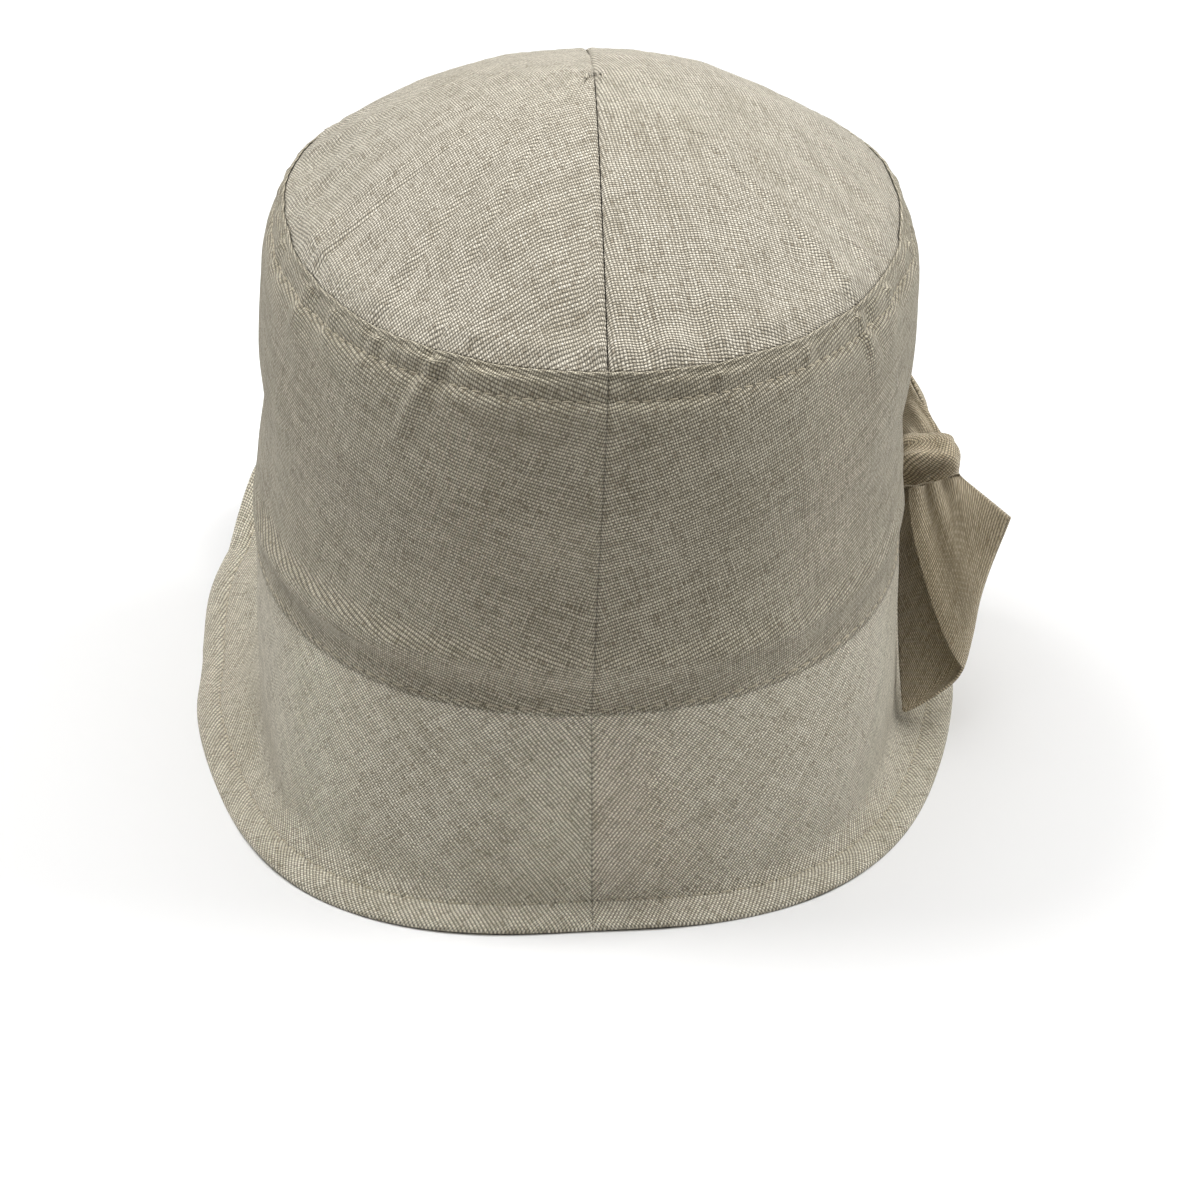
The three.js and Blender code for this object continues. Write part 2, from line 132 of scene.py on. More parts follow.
# The loops of the bow, each folded from one end of its neck to the other: where it leaves the knot,
# the fold at its far end from bottom to top, and its fullness.
BOW_REAR = dict(
    start=(-90.4, -1.0, 5.0), neck_across=(-1, 0, 0.3),
    fold=[(-82, 30, -50.5), (-88.5, 26, -45.5), (-95.5, 22.5, -39), (-99, 19.5, -29), (-101, 17, -18),
          (-104.5, 14, -8), (-108, 12, 2)],
    neck_half=6.6, neck_gap=1.6, puff=6.5, top_puff=0.3, near_edge_rise=0.38, far_edge_in=1.2,
    far_edge_forwards=6)
BOW_FRONT = dict(
    start=(-88.8, -18.3, 6.5), neck_across=(-1, 0, 0.1),
    fold=[(-88, -55, -30), (-91.5, -55, -12), (-90, -54, 4), (-87.5, -53, 12)],
    neck_half=6.0, neck_gap=1.8, puff=6.0, top_puff=0.4, near_edge_rise=0, far_edge_in=0,
    far_edge_forwards=0)
LOOP_COLUMNS = 150  # points along the cloth, out to the fold and back
LOOP_ROWS = 60  # points across it
NECK_PLEATS = 1.5
NECK_PLEAT_DEPTH = 0.4
# Painted shade in the crease where each loop's neck goes into the knot: its share of darkness, and how far
# out along the loop it reaches.
NECK_CREASE_SHADE = 0.3
NECK_CREASE_SHADE_REACH = 1 / 6
FLARE_POWER = 1.5
FLARE_SHARE = 0.6
FLATTER_EDGES = 0.3
CLOSING_FROM = -0.3
LEAST_PUFF = 0.06
NEAR_EDGE_POWER = 0.3
PAST_FOLD = 0.08
TOP_GAP_CLOSED = 0.7  # how much of the gap in the neck closes towards its upper edge
FAN_ACROSS = 3.2  # how many creases fan out from the neck across the cloth, and along it
FAN_ALONG = 1.1
FAN_FADE = 0.8
LOOP_CREASES = (0.7, 1.0)
LOOP_DENTS = (0.3, 14)

# The knot is a cushion round the necks of the loops, straight in its middle and rounded at its ends.
KNOT = dict(centre=(-89.8, -10.8, 5.2), half_height=7.8, half_depth=8.3, width=11.6, squareness=3.4,
            tilt=-12)
KNOT_STRAIGHT_ROWS = 0.5
KNOT_STRAIGHT_WIDTH = 0.62
KNOT_END_POWER = 0.8
KNOT_LEAST_SIZE = 0.002
KNOT_FOLD = 0.5
KNOT_FOLD_START = 0.9
KNOT_SQUEEZE = 0.4
KNOT_GRAIN = 40
KNOT_DENTS = (0.5, 4.0, 7.7)

# The plain weave: how far apart its threads lie, and the radius that each pattern piece is cut on.
WARP_PITCH = 0.54
WEFT_PITCH = 0.82
BAND_CUT_RADIUS = 860
BRIM_CUT_RADIUS = 300
BRIM_SEAM_IN = 30  # the brim's seam edge lies this far inside its cutting radius
BRIM_EASE = 1.02
TIP_LEFT_GRAIN = 16
TIP_RIGHT_GRAIN = 103

# Rows of stitches: where they run, and the length of a stitch with the gap after it.
BAND_STITCH = dict(below=6.1, pitch=3.0)
EDGE_STITCH = dict(above=1.3, pitch=4.0)
RIM_STITCH = dict(inside=6.8, pitch=3.7)
STITCH_FILLED = 0.78  # the share of its pitch that a stitch takes up
STITCH_RADIUS = 0.16
STITCH_SIDES = 6
SEAM_COLUMNS = 5  # columns of points on each side of the centre-back seam that stitches leave out

# Relief of the cloth. Waves have a height, a width and a seed, and a fourth value under 1 draws them
# out upright. Ridges have a height, which is negative for a groove, a middle and a half width.
SEAM_OUT_WAVES = [(0.55, 11, 3.3), (0.2, 4, 1.9)]
SEAM_UP_WAVES = [(0.4, 8, 8.8), (0.15, 3, 4.1)]
SEAM_SHIFT_REACH = 9
BAND_WAVES = (0.9, 34, 3.1)
BAND_DENTS = (0.4, 13, 9.4, 0.6)
BAND_PUCKERS = (0.7, 4.5, 5.7, 0.3)
BAND_PUCKER_REACH = 11
BAND_TOP_RIDGES = [(1.0, 2.4, 1.8), (-0.6, BAND_STITCH["below"], 0.9)]
BAND_EDGE_RIDGES = [(-0.3, EDGE_STITCH["above"], 0.6)]
BAND_SEAM_RIDGES = [(0.25, 1.2, 0.8), (-0.3, 0, 0.2)]
BAND_MOST_RELIEF = 3.2
BAND_FADE_LOW = 2.5
BAND_FADE_HIGH = 1.6
TIP_WAVES = (1.1, 40, 6.1)
TIP_DENTS = (0.4, 14, 1.7)
TIP_GATHERS = (1.4, 1.0, 2.2)
TIP_GATHER_SIZE = (6.5, 6.5, 42)  # round the rim in x and y, and from the rim to the peak
TIP_GATHER_REACH = 34
TIP_FOLD_SHARE = 0.5  # of a pinch's depth
TIP_FOLD_REACH = 15
TIP_FOLD_WIDER = 1.2
TIP_FOLD_LEAST = 0.6  # in degrees
TIP_RIM_RIDGES = [(0.4, 4.0, 2.6)]
TIP_RIM_FADE = 4
TIP_SEAM_RIDGES = [(0.25, 1.8, 1.2), (-0.35, 0, 0.5)]
BRIM_WAVES = (1.0, 36, 4.4)
BRIM_DENTS = (0.25, 12, 8.3)
BRIM_PUCKERS = (0.3, 5.0, 2.9)
BRIM_PUCKER_REACH = 9
BRIM_WAVES_FROM = 20
BRIM_FADE_IN = 3
BRIM_FADE_OUT = 1.5
RIM_LEAST_RELIEF = 0.15
RIM_RIDGES = [(0.5, 3.6, 2.2), (-0.5, RIM_STITCH["inside"], 0.8)]
BRIM_SEAM_RIDGES = [(0.2, 1.2, 0.8), (-0.3, 0, 0.2)]

# Painted shade: dark lines along the seams and creases, where shade falls, as ridges in a share of
# darkness.
BACK_SEAM_SHADE = [(0.45, 0, 0.09)]
BAND_EDGE_SHADE = [(0.12, 0, 0.4)]
TIP_SEAM_SHADE = [(0.35, 0, 0.22)]
TIP_RIM_SHADE = [(0.05, 0, 0.4)]
BRIM_EDGE_SHADE = [(0.25, 0, 0.4)]

# The look of the weave. Drift and steps are counted in threads, and the rest are shares.
DRIFT = dict(scale=90.0, across=1.6, along=-1.2)
SLUBS = dict(scale=1.7, warp_step=0.07, weft_step=0.045, apart=3.7)
THREAD_WIDTH = dict(least=0.5, warp_more=0.9, weft_more=1.1)
TONE = dict(own=0.4, slub=1.6, start=-0.7, crossing=0.35, weft=0.3)
TONE_PATCHES = dict(scale=55.0, height=0.8)
FLECKS = dict(scale=2.2, step=0.11, apart=7.1, layer=1.3, above=0.65, share=0.5)
# Painted shade in the gaps between threads.
GAP_SHADE = dict(start=1.45, height=0.85, share=0.9, darker=0.2)
# Painted shade in the needle holes between stitches.
NEEDLE_HOLE_SHADE = dict(along=90.0, beside=3.2, share=0.65, darker=0.15)
# How dark the painted shade in the seams and creases gets.
CREASE_SHADE_DARKER = 0.22
FIBRE_SCALE = 2600.0
# Keep the random draws of the warp, the weft and their crossings apart.
WEFT_DRAWS = 517.3
CROSSING_DRAWS = 61.7


# Curves, rings and relief

def curve_between(a, b, start, end, t):
    """The smooth curve from a to b at a share t of the way, with its slopes at both ends."""
    return ((2 * t**3 - 3 * t**2 + 1) * a + (t**3 - 2 * t**2 + t) * start
            + (3 * t**2 - 2 * t**3) * b + (t**3 - t**2) * end)


def smooth_table(keys, values, at, period=0):
    """A smooth curve through a table's rows. With a period, the curve joins its own start."""
    keys = np.array(keys, float)
    values = np.array(values, float)
    slopes = np.gradient(values, keys)
    slopes[1:-1] = (values[2:] - values[:-2]) / (keys[2:] - keys[:-2])
    if period:
        wrapped = (values[1] - values[-2]) / (keys[1] - keys[-2] + period)
        slopes[0] = wrapped
        slopes[-1] = wrapped
    at = np.asarray(at, float)
    i = np.clip(np.searchsorted(keys, at, side="right") - 1, 0, len(keys) - 2)
    span = keys[i + 1] - keys[i]
    return curve_between(values[i], values[i + 1], span * slopes[i], span * slopes[i + 1],
                         (at - keys[i]) / span)


def ring_at(ring, turn):
    """The place on a seam ring at a turn, and the way out from there, as arrays of x and y."""
    s = np.sin(np.radians(turn))
    c = np.cos(np.radians(turn))
    n = ring["squareness"]
    k = (np.abs(s) ** n + np.abs(c) ** n) ** (-1 / n)
    out = np.stack([np.sign(s) * np.abs(s * k) ** (n - 1) / ring["half_width"],
                    np.sign(c) * np.abs(c * k) ** (n - 1) / ring["half_length"]], -1)
    out /= np.linalg.norm(out, axis=-1, keepdims=True)
    taper = 1 - ring["front_taper"] * np.minimum(c, 0) ** 2
    place = np.stack([ring["x"] + ring["half_width"] * s * k * taper,
                      ring["y"] + ring["half_length"] * c * k], -1)
    return place, out


def tip_seam_height(turn):
    s = np.sin(np.radians(turn))
    c = np.cos(np.radians(turn))
    return (CROWN_HEIGHT + TIP_RISE_LEFT * s + TIP_RISE_BACK * c
            - TIP_FRONT_DROP * np.minimum(c, 0) ** 2)


def signed(turn):
    """A turn as -180 to 180 degrees."""
    return (turn + 180) % 360 - 180


def faded(distance, reach):
    """1 at no distance, falling evenly to 0 at the reach."""
    return np.clip(1 - distance / reach, 0, 1)


def grown(distance, reach):
    """0 at no distance, rising evenly to 1 at the reach."""
    return np.clip(distance / reach, 0, 1)


def bump_at(value, middle, half_width):
    """1 at the middle, fading out to each side."""
    return np.exp(-(((value - middle) / half_width) ** 2))


def ridged(distance, ridges):
    """The sum of some ridges at each distance."""
    return sum(height * bump_at(distance, middle, half_width) for height, middle, half_width in ridges)


def uneven(points, size, seed):
    """Smooth irregular relief from -1 to 1 at each point, with hollows about as wide as size."""
    flat = points.reshape(-1, 3) / size + seed
    return np.array([noise.noise(Vector(p)) for p in flat]).reshape(points.shape[:-1])


def waves(points, height, size, seed, upright=1.0):
    """Irregular relief of a height, its hollows drawn out upright where that factor is small."""
    return height * uneven(points * np.array([1, 1, upright]), size, seed)


# Cloth meshes

def normals_of(grid, closed):
    """Unit normals of a grid of points, rows by columns."""
    if closed:
        wide = np.concatenate([grid[:, -2:-1], grid, grid[:, 1:2]], 1)
        across = wide[:, 2:] - wide[:, :-2]
    else:
        across = np.gradient(grid, axis=1)
    down = np.gradient(grid, axis=0)
    normal = np.cross(across, down)
    length = np.linalg.norm(normal, axis=-1, keepdims=True)
    return normal / np.maximum(length, 1e-9)


def placed(name, mesh):
    piece = bpy.data.objects.new(name, mesh)
    bpy.context.scene.collection.objects.link(piece)
    return piece


def cloth_piece(name, grid, thickness, threads, crease_shade=0.0, closed=False, flip=False, holes=None):
    """A cloth from its outer surface, given as rows by columns of points in hat millimetres.
    Each point has its place in the weave, counted in threads, the painted shade of the seam or crease it
    lies in, and its place along and beside a row of stitches, counted in stitches and millimetres."""
    normal = normals_of(grid, closed) * (-1 if flip else 1)
    rows, columns = grid.shape[:2]
    points = np.concatenate([grid, grid - normal * thickness]).reshape(-1, 3)
    index = np.arange(rows * columns).reshape(rows, columns)
    outer = np.stack([index[:-1, :-1], index[:-1, 1:], index[1:, 1:], index[1:, :-1]], -1).reshape(-1, 4)
    inner = outer[:, ::-1] + rows * columns
    edge = np.concatenate([index[0], index[1:, -1], index[-1, -2::-1], index[-2:0:-1, 0]])
    following = np.roll(edge, -1)
    wall = np.stack([following, edge, edge + rows * columns, following + rows * columns], -1)
    faces = np.concatenate([outer, inner, wall])
    if flip:
        faces = faces[:, ::-1]
    mesh = bpy.data.meshes.new(name)
    mesh.from_pydata(((points + HAT_ORIGIN) * MM).tolist(), [], faces.tolist())
    corners = faces.reshape(-1) % (rows * columns)
    for map_name, values in (("threads", threads), ("needle_holes", holes)):
        if values is not None:
            layer = mesh.uv_layers.new(name=map_name)
            layer.data.foreach_set("uv", values.reshape(-1, 2)[corners].astype(np.float32).reshape(-1))
    # Painted shade of the seams and creases, as a share of darkness at each point.
    shade = np.broadcast_to(crease_shade, (2, rows, columns)).reshape(-1)
    attribute = mesh.attributes.new("crease_shade", "FLOAT", "POINT")
    attribute.data.foreach_set("value", shade.astype(np.float32))
    mesh.shade_smooth()
    return placed(name, mesh)


def run_along(line):
    """The distance along a line of points at each of them."""
    return np.concatenate([[0], np.cumsum(np.linalg.norm(np.diff(line, axis=0), axis=1))])


def stitch_count(line, pitch):
    """How far along a line each of its points is, counted in stitches, and how many stitches it has."""
    arc = run_along(line)
    start = arc[SEAM_COLUMNS]
    length = arc[-1 - SEAM_COLUMNS] - start
    count = int(length // pitch)
    return (arc - start) / length * count, count


def stitch_row(name, line, out, pitch):
    """A row of stitches along a line of points on the cloth. Each sinks into the cloth at its ends."""
    arc, count = stitch_count(line, pitch)
    stations = np.array([0, 0.12, 0.5, 0.88, 1])
    width = np.array([0.25, 0.8, 1, 0.8, 0.25]) * STITCH_RADIUS
    lift = np.array([-0.6, 0.2, 0.55, 0.2, -0.6]) * STITCH_RADIUS
    at = (np.arange(count) + (1 - STITCH_FILLED) / 2)[:, None] + stations * STITCH_FILLED

    def along(values):
        return np.stack([np.interp(at, arc, values[:, k]) for k in range(3)], -1)

    centre = along(line)
    up = unit(along(out))
    side = unit(np.cross(np.gradient(centre, axis=1), up))
    centre = centre + up * lift[None, :, None]
    angle = (2 * np.pi * np.arange(STITCH_SIDES) / STITCH_SIDES)[:, None]
    ring = centre[:, :, None] + width[None, :, None, None] * (
        np.cos(angle) * side[:, :, None] + np.sin(angle) * up[:, :, None])
    faces = []
    for stitch in range(count):
        base = stitch * len(stations) * STITCH_SIDES
        for k in range(len(stations) - 1):
            here = base + k * STITCH_SIDES
            for j in range(STITCH_SIDES):
                after = (j + 1) % STITCH_SIDES
                faces.append((here + j, here + after, here + STITCH_SIDES + after, here + STITCH_SIDES + j))
        far = base + (len(stations) - 1) * STITCH_SIDES
        faces.append(tuple(base + j for j in reversed(range(STITCH_SIDES))))
        faces.append(tuple(far + j for j in range(STITCH_SIDES)))
    mesh = bpy.data.meshes.new(name)
    mesh.from_pydata(((ring.reshape(-1, 3) + HAT_ORIGIN) * MM).tolist(), [], faces)
    mesh.shade_smooth()
    return placed(name, mesh)


def unit(vector):
    return vector / np.linalg.norm(vector, axis=-1, keepdims=True)


def row_on(grid, row_values, wanted, normal):
    """The line on a grid of points where its row values reach what is wanted, and the way out there."""
    line = np.zeros((grid.shape[1], 3))
    out = np.zeros_like(line)
    for j in range(grid.shape[1]):
        order = np.argsort(row_values[:, j])
        for k in range(3):
            line[j, k] = np.interp(wanted, row_values[order, j], grid[order, j, k])
            out[j, k] = np.interp(wanted, row_values[order, j], normal[order, j, k])
    return line, out


# Materials

class Nodes:
    """Short ways to put a material's nodes together."""

    def __init__(self, name):
        self.material = bpy.data.materials.new(name)
        self.material.use_nodes = True
        self.tree = self.material.node_tree
        self.shader = self.tree.nodes["Principled BSDF"]

    def node(self, kind, **settings):
        made = self.tree.nodes.new(kind)
        for key, value in settings.items():
            setattr(made, key, value)
        return made

    def put(self, socket, value):
        if isinstance(value, bpy.types.NodeSocket):
            self.tree.links.new(value, socket)
        else:
            socket.default_value = value

    def made(self, kind, inputs, output=0, **settings):
        """An output of a new node, whose inputs are given by their name or number."""
        made = self.node(kind, **settings)
        for key, value in inputs.items():
            self.put(made.inputs[key], value)
        return made.outputs[output]

    def math(self, operation, a, b=0.0, c=0.0):
        return self.made("ShaderNodeMath", {0: a, 1: b, 2: c}, operation=operation)

    def times(self, a, b):
        return self.math("MULTIPLY", a, b)

    def times_plus(self, a, b, c):
        return self.math("MULTIPLY_ADD", a, b, c)

    def join(self, x, y, z=0.0):
        return self.made("ShaderNodeCombineXYZ", {0: x, 1: y, 2: z})

    def limited(self, value):
        """The value kept between 0 and 1."""
        return self.made("ShaderNodeClamp", {0: value})

    def map_parts(self, name):
        """Both parts of a mesh's UV map."""
        made = self.node("ShaderNodeSeparateXYZ")
        self.put(made.inputs[0], self.node("ShaderNodeUVMap", uv_map=name).outputs[0])
        return made.outputs[0], made.outputs[1]

    def noise(self, vector, scale, detail=2.0):
        return self.made("ShaderNodeTexNoise", {"Vector": vector, "Scale": scale, "Detail": detail}, "Fac")

    def white(self, value):
        return self.made("ShaderNodeTexWhiteNoise", {"W": value}, "Value", noise_dimensions="1D")

    def mix(self, share, a, b):
        return self.made("ShaderNodeMix", {0: share, 2: a, 3: b}, data_type="FLOAT")

    def colour(self, share, a, b):
        return self.made("ShaderNodeMix", {0: share, 6: a, 7: b}, 2, data_type="RGBA")

    def bump(self, height, depth):
        """Gives the surface a fine relief, as deep as the depth where the height is 1."""
        normal = self.made("ShaderNodeBump", {"Strength": 1.0, "Distance": depth * MM, "Height": height})
        self.put(self.shader.inputs["Normal"], normal)


def linear(red, green, blue):
    """A colour given in 0 to 255, as the shader wants it."""
    def one(value):
        value /= 255
        return value / 12.92 if value <= 0.04045 else ((value + 0.055) / 1.055) ** 2.4
    return (one(red), one(green), one(blue), 1.0)


def darker(colour, share):
    return tuple(share * part for part in colour[:3]) + (1.0,)


def weave(n, place):
    """The threads of a plain weave: its height at each place, and the thread on top there. That has
    its tone, the number of its weft thread, the place across the warp, and 1 where it is the weft."""
    drift = n.noise(place, DRIFT["scale"])
    across, along = n.map_parts("threads")
    u = n.times_plus(drift, DRIFT["across"], across)
    v = n.times_plus(drift, DRIFT["along"], along)
    wave_u = n.math("SINE", n.times(u, math.pi))
    wave_v = n.math("SINE", n.times(v, math.pi))
    crossing = n.times(wave_u, wave_v)
    warp_number = n.math("FLOOR", u)
    weft_number = n.math("FLOOR", v)
    # Slubs: each thread is thick and thin along its length.
    warp_slub = n.noise(n.join(warp_number, n.times(v, SLUBS["warp_step"])), SLUBS["scale"])
    weft_step = n.times(u, SLUBS["weft_step"])
    weft_slub = n.noise(n.join(weft_step, weft_number, SLUBS["apart"]), SLUBS["scale"])
    warp_full = n.times_plus(warp_slub, THREAD_WIDTH["warp_more"], THREAD_WIDTH["least"])
    weft_full = n.times_plus(weft_slub, THREAD_WIDTH["weft_more"], THREAD_WIDTH["least"])
    warp_top = n.math("ADD", n.math("ABSOLUTE", wave_u), crossing)
    weft_top = n.math("SUBTRACT", n.math("ABSOLUTE", wave_v), crossing)
    warp_height = n.times(warp_top, warp_full)
    weft_height = n.times(weft_top, weft_full)
    height = n.math("MAXIMUM", warp_height, weft_height)
    weft_on_top = n.math("GREATER_THAN", weft_height, warp_height)
    # Each thread has its own shade, and is lighter where it is full.
    weft_own = n.white(n.math("ADD", weft_number, WEFT_DRAWS))
    own = n.mix(weft_on_top, n.white(warp_number), weft_own)
    slub = n.mix(weft_on_top, warp_slub, weft_slub)
    each = n.white(n.times_plus(warp_number, CROSSING_DRAWS, weft_number))
    tone = n.times_plus(slub, TONE["slub"], TONE["start"])
    tone = n.times_plus(own, TONE["own"], tone)
    tone = n.times_plus(each, TONE["crossing"], tone)
    tone = n.times_plus(weft_on_top, TONE["weft"], tone)
    patches = n.noise(place, TONE_PATCHES["scale"], 3.0)
    patches = n.times_plus(patches, TONE_PATCHES["height"], -TONE_PATCHES["height"] / 2)
    return height, n.limited(n.math("ADD", tone, patches)), weft_number, u, weft_on_top


def linen_material(name, light, dark, fleck, relief):
    """A matte plain weave of uneven threads: light and dark thread colours, and brown flecks."""
    n = Nodes(name)
    light, dark, fleck = [linear(*colour) for colour in (light, dark, fleck)]
    place = n.node("ShaderNodeNewGeometry").outputs["Position"]
    height, tone, weft_number, u, weft_on_top = weave(n, place)
    base = n.colour(tone, dark, light)
    # Brown flecks of straw along single threads.
    fleck_place = n.join(n.times(u, FLECKS["step"]),
                         n.times(weft_number, FLECKS["apart"]), FLECKS["layer"])
    flecked = n.math("GREATER_THAN", n.noise(fleck_place, FLECKS["scale"], 1.0), FLECKS["above"])
    fleck_share = n.times(flecked, n.times(weft_on_top, FLECKS["share"]))
    base = n.colour(fleck_share, base, fleck)
    # Painted shade: the gaps between threads and the creases are darker, as shade falls in them.
    gap = n.limited(n.math("SUBTRACT", GAP_SHADE["start"], n.times(height, GAP_SHADE["height"])))
    base = n.colour(n.times(gap, GAP_SHADE["share"]), base, darker(dark, GAP_SHADE["darker"]))
    # Painted shade: a small dark hole between each two stitches, where shade falls into it.
    stitches_along, beside = n.map_parts("needle_holes")
    along_row = n.math("SUBTRACT", n.math("FRACT", stitches_along), 0.5)
    beside_row = n.times(beside, NEEDLE_HOLE_SHADE["beside"])
    far = n.math("ADD", n.times(n.math("POWER", along_row, 2.0), NEEDLE_HOLE_SHADE["along"]),
                 n.math("POWER", beside_row, 2.0))
    hole_shade = n.times(n.math("LESS_THAN", far, 1.0), n.math("SUBTRACT", 1.0, far))
    base = n.colour(n.times(hole_shade, NEEDLE_HOLE_SHADE["share"]), base,
                    darker(fleck, NEEDLE_HOLE_SHADE["darker"]))
    # Painted shade in the seams and creases, darkening the colour towards a deep brown.
    crease_shade = n.node("ShaderNodeAttribute", attribute_name="crease_shade").outputs["Fac"]
    base = n.colour(crease_shade, base, darker(fleck, CREASE_SHADE_DARKER))
    n.put(n.shader.inputs["Base Color"], base)
    fibres = n.noise(place, FIBRE_SCALE)
    n.put(n.shader.inputs["Roughness"], n.times_plus(fibres, 0.2, 0.78))
    n.shader.inputs["Specular IOR Level"].default_value = 0.2
    n.shader.inputs["Sheen Weight"].default_value = 0.15
    n.shader.inputs["Sheen Roughness"].default_value = 0.6
    n.bump(n.times_plus(fibres, 0.25, height), relief)
    return n.material


def thread_material(name, light, dark):
    """Sewing thread, twisted and a little uneven in tone."""
    n = Nodes(name)
    place = n.node("ShaderNodeNewGeometry").outputs["Position"]
    tone = n.noise(place, 700.0)
    n.put(n.shader.inputs["Base Color"], n.colour(tone, linear(*dark), linear(*light)))
    n.put(n.shader.inputs["Roughness"], n.times_plus(tone, 0.2, 0.6))
    n.bump(n.noise(place, 2400.0, 1.0), 0.1)
    return n.material


# The pieces are one linen. The band's copy is darker, as painted shade, and the brim's copy lighter, as
# painted light; beside that their tints differ a little.
tip_linen = linen_material("tip_linen", (238, 230, 212), (194, 184, 162), (112, 90, 58), 0.15)
shaded_band_linen = linen_material("shaded_band_linen", (220, 211, 189), (173, 163, 138), (104, 82, 52), 0.15)
lit_brim_linen = linen_material("lit_brim_linen", (252, 244, 224), (212, 202, 176), (118, 96, 62), 0.15)
underside = linen_material("linen_underside", (240, 231, 210), (200, 188, 162), (116, 94, 64), 0.14)
bow_linen = linen_material("linen_bow", (222, 207, 179), (200, 184, 152), (140, 114, 78), 0.06)
thread = thread_material("sewing_thread", (216, 206, 184), (160, 148, 122))


def finish_piece(piece, material, nodes=()):
    """Gives a piece its material, and tells the frame what it rides on and replaces."""
    piece.data.materials.append(material)
    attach(piece, "root")
    if nodes:
        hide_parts(*nodes)


# The band

# Turns once round the hat from the centre back, closer together beside the seam there.
BESIDE_SEAM = np.array([0, 0.12, 0.25, 0.45, 0.7, 1.0])
TURNS = np.concatenate([BESIDE_SEAM, np.linspace(1, 359, 600)[1:-1], 360 - BESIDE_SEAM[::-1]])
SEAM_DISTANCE = np.abs(signed(TURNS))


def rows_between(low, high, length, count):
    """Distances of rows of points over each length: fixed from both its ends, stretched between."""
    between = np.linspace(0, 1, count + 2)[1:-1]
    middle = low[-1] + between[None, :] * (length[:, None] - high[0] - low[-1])
    return np.concatenate([np.tile(low, (len(length), 1)), middle, length[:, None] - high], 1)


def band_rows(height):
    low = np.array([0, 0.5, 1.0, 1.3, 1.7, 2.3, 3.2, 4.2])
    high = np.array([12, 10.6, 9.4, 8.4, 7.6, 7.0, 6.5, 6.1, 5.7, 5.2, 4.6, 3.9, 3.1, 2.4, 1.7, 1.1,
                     BAND_TOP_ROW])
    return rows_between(low, high, height, 50)


def seam_shift(turn):
    """How far the tip seam wanders from its ring at each turn: outwards, and upwards."""
    place, _ = ring_at(TIP_SEAM, turn)
    flat = np.stack([place[:, 0], place[:, 1], 0 * turn], -1)
    out = sum(waves(flat, *layer) for layer in SEAM_OUT_WAVES)
    up = sum(waves(flat, *layer) for layer in SEAM_UP_WAVES)
    for middle, depth, half_width in PINCHES:
        pinch = PINCH_SHARE * depth * bump_at(signed(turn), middle, half_width)
        out -= pinch
        up -= pinch
    return out, up


def strip_threads(place, turn_radius, radius):
    """Places in the weave of a strip that is cut along an arc and sewn round a ring of places."""
    arc = run_along(place)
    angle = (np.interp(180, TURNS, arc) - arc)[None] / turn_radius
    return np.stack([radius * np.sin(angle) / WARP_PITCH, -radius * np.cos(angle) / WEFT_PITCH], -1)


def band_roll(heights):
    """The soft roll above the brim seam: fuller on the wearer's left, and gone at the sides."""
    aside = signed(TURNS)
    fullness = ROLL["out"] + ROLL["more"] * bump_at(aside, ROLL["fullest_turn"], ROLL["fuller_over"])
    fullness *= faded(np.abs(aside) - ROLL["full_to"], ROLL["none_from"] - ROLL["full_to"])
    spread = np.where(heights > ROLL["height"], ROLL["above"], ROLL["below"])
    return fullness * bump_at(heights, ROLL["height"], spread)


def band_pleats(below):
    """The small knife-edged folds under the tip seam, each with a hollow beside it."""
    relief = np.zeros_like(below)
    for turn, height, half_width, slant, reach in PLEATS:
        aside = signed(TURNS)[None] - turn - slant * below
        side = np.where(aside > 0, PLEAT_STEEP, PLEAT_EASY)
        fold = bump_at(aside, 0, half_width * side * (PLEAT_NARROW + below / PLEAT_WIDENING))
        hollow = bump_at(aside, -HOLLOW_ASIDE * half_width, HOLLOW_HALF_WIDTH * half_width)
        relief += height * (PLEAT_HEIGHT * fold - HOLLOW_DEPTH * hollow) * faded(below, reach)
    return relief


def band_relief(band, heights, below):
    """How far the band's cloth stands out from its plain shape."""
    relief = waves(band, *BAND_WAVES) + waves(band, *BAND_DENTS)
    relief += waves(band, *BAND_PUCKERS) * faded(below, BAND_PUCKER_REACH)
    relief += ridged(below, BAND_TOP_RIDGES) + ridged(heights, BAND_EDGE_RIDGES)
    relief += ridged(SEAM_DISTANCE, BAND_SEAM_RIDGES)
    relief += band_pleats(below) + band_roll(heights)
    fade = grown(heights, BAND_FADE_LOW) * grown(below - BAND_TOP_ROW, BAND_FADE_HIGH)
    return np.minimum(relief, BAND_MOST_RELIEF) * fade


